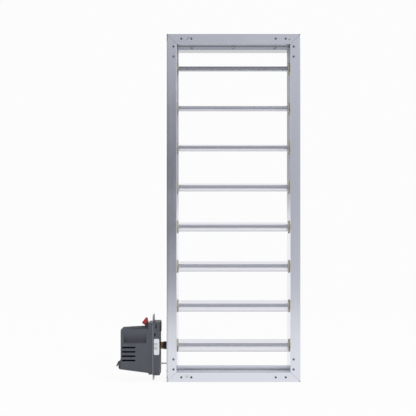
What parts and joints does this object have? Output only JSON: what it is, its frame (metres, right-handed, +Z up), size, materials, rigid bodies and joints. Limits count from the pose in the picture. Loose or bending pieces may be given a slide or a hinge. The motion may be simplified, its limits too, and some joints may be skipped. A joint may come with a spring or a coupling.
{
  "type": "rectangular zone damper",
  "caption": "Tall rectangular air damper: mitred aluminium channel frame, parallel blades turned together by a hidden link bar, and a motor actuator on the lowest blade's shaft.",
  "frame": {"origin": "centre of the frame's underside, at mid-width and mid-depth", "axes": "+Z up the stiles, +Y along the air flow from front to back, +X along the blades to the right"},
  "size_m": [0.353, 0.127, 0.6604],
  "materials": {
    "satin_aluminium": "satin extrusion",
    "blade_aluminium": "mill finish",
    "rivet_steel": "dull",
    "zinc_steel": "zinc plated",
    "tan_nylon": "moulded nylon",
    "grey_plastic": "fine texture",
    "black_plastic": "matt",
    "red_plastic": "moulded",
    "coupling_brass": "turned",
    "white_nylon": "moulded nylon"
  },
  "bodies": {
    "frame": {"left_stile": "satin_aluminium", "right_stile": "satin_aluminium", "top_rail": "satin_aluminium", "bottom_rail": "satin_aluminium", "front_corner_plates": "satin_aluminium", "back_corner_plates": "satin_aluminium", "corner_rivets": "rivet_steel", "top_stop": "satin_aluminium", "bottom_stop": "satin_aluminium", "stop_rivets": "rivet_steel", "left_bearings": "tan_nylon", "right_bearings": "tan_nylon", "actuator_base": "grey_plastic", "mounting_plate": "zinc_steel", "actuator_cover": "grey_plastic", "cover_screws": "rivet_steel", "anti_rotation_pin": "zinc_steel", "cover_clip": "black_plastic", "lever_pin": "zinc_steel", "motor": "zinc_steel", "gear_arbor": "zinc_steel"},
    "drive_blade": {"blade_8": "blade_aluminium", "axles_8": "zinc_steel", "crank_arm_8": "zinc_steel", "drive_shaft": "zinc_steel", "coupling": "coupling_brass", "coupling_sleeve": "black_plastic", "coupling_screw": "rivet_steel", "output_shaft": "zinc_steel", "output_gear": "white_nylon"},
    "linkage": {"link_bar": "zinc_steel", "link_pins": "zinc_steel"},
    "compound_gear": {"compound_gear": "white_nylon"},
    "motor_pinion": {"motor_pinion": "white_nylon"},
    "release_lever": {"release_lever": "red_plastic"},
    "blade_1": {"blade_1": "blade_aluminium", "axles_1": "zinc_steel", "crank_arm_1": "zinc_steel"},
    "blade_2": {"blade_2": "blade_aluminium", "axles_2": "zinc_steel", "crank_arm_2": "zinc_steel"},
    "blade_3": {"blade_3": "blade_aluminium", "axles_3": "zinc_steel", "crank_arm_3": "zinc_steel"},
    "blade_4": {"blade_4": "blade_aluminium", "axles_4": "zinc_steel", "crank_arm_4": "zinc_steel"},
    "blade_5": {"blade_5": "blade_aluminium", "axles_5": "zinc_steel", "crank_arm_5": "zinc_steel"},
    "blade_6": {"blade_6": "blade_aluminium", "axles_6": "zinc_steel", "crank_arm_6": "zinc_steel"},
    "blade_7": {"blade_7": "blade_aluminium", "axles_7": "zinc_steel", "crank_arm_7": "zinc_steel"}
  },
  "joints": [
    {"name": "drive", "type": "hinge", "parent": "frame", "child": "drive_blade", "pos_m": [0, -0.018, 0.066], "axis": [1, 0, 0], "range_deg": [-12, 76]},
    {"name": "blade_1_turn", "type": "hinge", "parent": "frame", "child": "blade_1", "pos_m": [0, -0.018, 0.5994], "axis": [1, 0, 0], "range_deg": [-12, 76]},
    {"name": "blade_2_turn", "type": "hinge", "parent": "frame", "child": "blade_2", "pos_m": [0, -0.018, 0.5232], "axis": [1, 0, 0], "range_deg": [-12, 76]},
    {"name": "blade_3_turn", "type": "hinge", "parent": "frame", "child": "blade_3", "pos_m": [0, -0.018, 0.447], "axis": [1, 0, 0], "range_deg": [-12, 76]},
    {"name": "blade_4_turn", "type": "hinge", "parent": "frame", "child": "blade_4", "pos_m": [0, -0.018, 0.3708], "axis": [1, 0, 0], "range_deg": [-12, 76]},
    {"name": "blade_5_turn", "type": "hinge", "parent": "frame", "child": "blade_5", "pos_m": [0, -0.018, 0.2946], "axis": [1, 0, 0], "range_deg": [-12, 76]},
    {"name": "blade_6_turn", "type": "hinge", "parent": "frame", "child": "blade_6", "pos_m": [0, -0.018, 0.2184], "axis": [1, 0, 0], "range_deg": [-12, 76]},
    {"name": "blade_7_turn", "type": "hinge", "parent": "frame", "child": "blade_7", "pos_m": [0, -0.018, 0.1422], "axis": [1, 0, 0], "range_deg": [-12, 76]},
    {"name": "link_pivot", "type": "hinge", "parent": "drive_blade", "child": "linkage", "pos_m": [0.1184, 0.0032, 0.05275], "axis": [1, 0, 0], "range_deg": [-76, 12]},
    {"name": "compound_gear_turn", "type": "hinge", "parent": "frame", "child": "compound_gear", "pos_m": [-0.183, -0.031, 0.04348], "axis": [1, 0, 0], "range_deg": [-254.33, 41]},
    {"name": "motor_pinion_turn", "type": "hinge", "parent": "frame", "child": "motor_pinion", "pos_m": [-0.18, -0.01033, 0.03596], "axis": [1, 0, 0], "range_deg": [-107.67, 676.56]},
    {"name": "release", "type": "hinge", "parent": "frame", "child": "release_lever", "pos_m": [-0.1657, -0.018, 0.1061], "axis": [0, 1, 0], "range_deg": [-25, 0]}
  ],
  "couplings": [
    {"joint": "blade_1_turn", "follows": "drive", "ratio": 1},
    {"joint": "blade_2_turn", "follows": "drive", "ratio": 1},
    {"joint": "blade_3_turn", "follows": "drive", "ratio": 1},
    {"joint": "blade_4_turn", "follows": "drive", "ratio": 1},
    {"joint": "blade_5_turn", "follows": "drive", "ratio": 1},
    {"joint": "blade_6_turn", "follows": "drive", "ratio": 1},
    {"joint": "blade_7_turn", "follows": "drive", "ratio": 1},
    {"joint": "link_pivot", "follows": "drive", "ratio": -1},
    {"joint": "compound_gear_turn", "follows": "drive", "ratio": -3.3333},
    {"joint": "motor_pinion_turn", "follows": "drive", "ratio": 8.8889}
  ]
}
